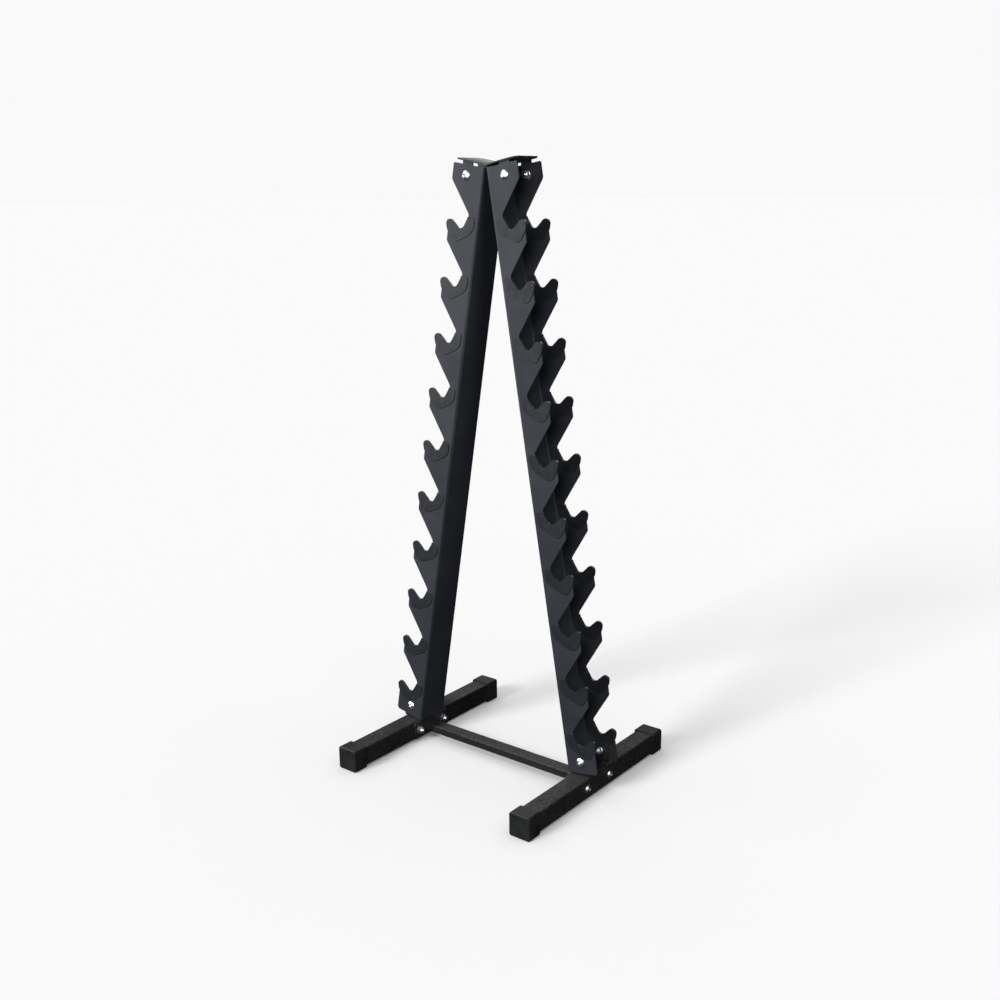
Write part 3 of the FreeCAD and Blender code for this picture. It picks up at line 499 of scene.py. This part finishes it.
def makeBead(name, paths):
    # paths are (points, closed); all beads of one name become one piece
    points, edges = [], []
    for path, closed in paths:
        first = len(points)
        points.extend(path)
        edges.extend((first + i, first + i + 1) for i in range(len(path) - 1))
        if closed:
            edges.append((len(points) - 1, first))
    line = bpy.data.meshes.new(name + "Line")
    line.from_pydata(points, edges, [])
    guide = bpy.data.objects.new(name + "Guide", line)
    scene.collection.objects.link(guide)
    modifier = guide.modifiers.new("bead", "NODES")
    modifier.node_group = weldTree
    sizes = ("radius", "ripple", "depth", "step", "sides", "seed")
    values = {key.capitalize(): weldBead[key] for key in sizes}
    values["Finish"] = finishes["base"]
    for socket in weldTree.interface.items_tree:
        if socket.in_out == "INPUT" and socket.name in values:
            modifier[socket.identifier] = values[socket.name]
    evaluated = guide.evaluated_get(bpy.context.evaluated_depsgraph_get())
    mesh = bpy.data.meshes.new_from_object(evaluated)
    bpy.data.objects.remove(guide)
    form = bmesh.new()
    form.from_mesh(mesh)
    bmesh.ops.recalc_face_normals(form, faces=form.faces)
    for face in form.faces:
        face.smooth = True
    form.to_mesh(mesh)
    form.free()
    bead = bpy.data.objects.new(name, mesh)
    scene.collection.objects.link(bead)
    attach(bead, "root")
    return bead


def roundedRectangle(x, low, high, corner):
    # a closed path in the plane across the crossbar
    path = []
    corners = ((high[0], high[1]), (low[0], high[1]), (low[0], low[1]), (high[0], low[1]))
    for quarter, (cy, cz) in enumerate(corners):
        inY = cy - corner if cy == high[0] else cy + corner
        inZ = cz - corner if cz == high[1] else cz + corner
        for step in range(5):
            angle = math.radians(quarter * 90 + step * 22.5)
            path.append((x, inY + corner * math.cos(angle), inZ + corner * math.sin(angle)))
    return path


def crossbarBead():
    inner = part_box("crossbar")[1][0] - weldBead["plateThickness"]      # inner face of an end plate
    bar = [
        vertex.co for vertex in nodes["crossbar"].data.vertices
        if abs(vertex.co.x) < inner + weldBead["slack"] and abs(vertex.co.y) < weldBead["barHalfDepth"]
    ]
    low = (min(spot.y for spot in bar), min(spot.z for spot in bar))
    high = (max(spot.y for spot in bar), max(spot.z for spot in bar))
    place = inner - weldBead["barSink"]
    rings = [(roundedRectangle(sign * place, low, high, weldBead["barCorner"]), True) for sign in (-1, 1)]
    return makeBead("crossbar_welds", rings)


def bracketBead(side, sign):
    low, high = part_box("foot_bracket_" + side)
    outer = (high[0] if sign > 0 else low[0]) - sign * weldBead["bracketSink"]
    height = low[2] + weldBead["bracketRise"]
    reach = (high[1] - low[1]) / 2 - weldBead["bracketEnd"]
    gap = weldBead["bracketGap"]
    runs = [([(outer, y, height) for y in ends], False) for ends in ((-reach, -gap), (gap, reach))]
    return makeBead("bracket_welds_" + side, runs)


welds = [crossbarBead(), bracketBead("left", -1), bracketBead("right", 1)]
print("weld beads laid:", [len(bead.data.polygons) for bead in welds])


def groupOf(name, members):
    group = bpy.data.collections.new(name)
    for member in members:
        group.objects.link(member)
    return group


def nodesOf(finish):
    return [node for name, node in nodes.items() if finishOf(name) == finish]


room = {"tone": (0.94, 0.94, 0.94), "reach": 400.0, "backdrop": 0.947}


def makeFloor():
    mesh = bpy.data.meshes.new("studioFloor")
    r = room["reach"]
    mesh.from_pydata([(-r, -r, 0), (r, -r, 0), (r, r, 0), (-r, r, 0)], [], [(0, 1, 2, 3)])
    floor = bpy.data.objects.new("studioFloor", mesh)
    scene.collection.objects.link(floor)
    floor.visible_diffuse = False      # the pale floor throws no light back on the rack
    floor.visible_glossy = False
    material, tree, shader = newMaterial("palePaper")
    shader.inputs["Base Color"].default_value = (*room["tone"], 1)
    shader.inputs["Roughness"].default_value = 1.0
    shader.inputs["Specular IOR Level"].default_value = 0.0
    mesh.materials.append(material)
    floor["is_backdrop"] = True
    return floor


floor = makeFloor()

# softboxes light the rack: size across in metres, power in watts
softboxes = {
    "highBox": {"at": (-2.3, -2.5, 3.5), "aim": (0, 0, 0.7), "size": 1.7, "power": 190.0},
    "leftBox": {"at": (-3.5, -1.9, 0.9), "aim": (0, 0, 0.5), "size": 1.5, "power": 40.0},
    "cameraBox": {"at": (1.6, -3.4, 2.2), "aim": (0, 0, 0.8), "size": 1.6, "power": 52.0},
    "rightBox": {"at": (2.7, -0.8, 0.7), "aim": (0.1, 0, 0.4), "size": 1.1, "power": 15.0},
    "rearBox": {"at": (-1.9, 2.6, 2.3), "aim": (0, 0, 0.7), "size": 1.6, "power": 12.0},
}

# one lamp behind the rack lights the liners alone, for their upper rims
rimLamps = {
    "rimBox": {"at": (-0.3, 2.9, 2.6), "aim": (0, 0, 0.7), "size": 2.4, "power": 26.0},
}

# glints light the zinc alone, so small domed heads read as bright metal
glints = {
    "frontGlint": {"at": (0.2, -3.4, 1.5), "aim": (0, 0, 0.8), "size": 3.2, "power": 115.0},
    "rightGlint": {"at": (3.2, -1.0, 1.4), "aim": (0, 0, 0.6), "size": 2.6, "power": 85.0},
}

# washes light the floor alone, so it stays evenly pale: softness is in degrees
washes = {
    "evenWash": {"from": (0.0, 0.0, 1.0), "softness": 120.0, "strength": 1.86, "shadows": False},
    "overWash": {"from": (0.0, 0.0, 1.0), "softness": 120.0, "strength": 0.42, "shadows": True},
    "slantWash": {"from": (-0.15, -0.85, 0.50), "softness": 17.0, "strength": 1.85, "shadows": True},
}


def addSoftbox(name, values):
    light = bpy.data.lights.new(name, "AREA")
    light.shape = "DISK"
    light.size = values["size"]
    light.energy = values["power"]
    lamp = bpy.data.objects.new(name, light)
    lamp.location = values["at"]
    lamp.rotation_mode = "QUATERNION"
    lamp.rotation_quaternion = (Vector(values["aim"]) - Vector(values["at"])).to_track_quat("-Z", "Y")
    lamp.visible_camera = False
    scene.collection.objects.link(lamp)
    return lamp


def addWash(name, values):
    light = bpy.data.lights.new(name, "SUN")
    light.angle = math.radians(values["softness"])
    light.energy = values["strength"]
    lamp = bpy.data.objects.new(name, light)
    lamp.rotation_mode = "QUATERNION"
    lamp.rotation_quaternion = (-Vector(values["from"])).to_track_quat("-Z", "Y")
    scene.collection.objects.link(lamp)
    return lamp


rackGroup = groupOf("rackPieces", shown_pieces())
floorGroup = groupOf("floorPieces", [floor])
linerGroup = groupOf("linerPieces", nodesOf("liner"))
zincGroup = groupOf("zincPieces", nodesOf("zinc"))
for lamps, receivers in ((softboxes, rackGroup), (rimLamps, linerGroup), (glints, zincGroup)):
    for name, values in lamps.items():
        addSoftbox(name, values).light_linking.receiver_collection = receivers
for name, values in washes.items():
    lamp = addWash(name, values)
    lamp.light_linking.receiver_collection = floorGroup
    if not values["shadows"]:
        lamp.light_linking.blocker_collection = floorGroup

world = bpy.data.worlds.new("studioSky")
world.use_nodes = True
backdrop = world.node_tree.nodes["Background"]
backdrop.inputs["Color"].default_value = (1, 1, 1, 1)
backdrop.inputs["Strength"].default_value = room["backdrop"]
world.cycles_visibility.diffuse = False
world.cycles_visibility.glossy = False
scene.world = world

viewpoint = {
    "at": (1.71431, -2.18234, 1.40409),
    "yaw": -38.1617,
    "pitch": 14.5951,
    "roll": -0.5112,
    "lens": 42.858,
    "sensor": 36.0,
    "nearest": 0.05,
    "farthest": 200.0,
}


def makeCamera():
    yaw, pitch, roll = (math.radians(viewpoint[key]) for key in ("yaw", "pitch", "roll"))
    ahead = Vector((math.sin(yaw) * math.cos(pitch), math.cos(yaw) * math.cos(pitch), -math.sin(pitch)))
    side = Vector((math.cos(yaw), -math.sin(yaw), 0))
    top = side.cross(ahead)
    right = side * math.cos(roll) + top * math.sin(roll)
    up = top * math.cos(roll) - side * math.sin(roll)
    lensData = bpy.data.cameras.new("viewCamera")
    lensData.sensor_width = viewpoint["sensor"]
    lensData.lens = viewpoint["lens"]
    lensData.clip_start = viewpoint["nearest"]
    lensData.clip_end = viewpoint["farthest"]
    camera = bpy.data.objects.new("viewCamera", lensData)
    turn = Matrix((right, up, -ahead)).transposed().to_4x4()
    camera.matrix_world = Matrix.Translation(viewpoint["at"]) @ turn
    scene.collection.objects.link(camera)
    scene.camera = camera


makeCamera()
print("room, lamps and camera set")
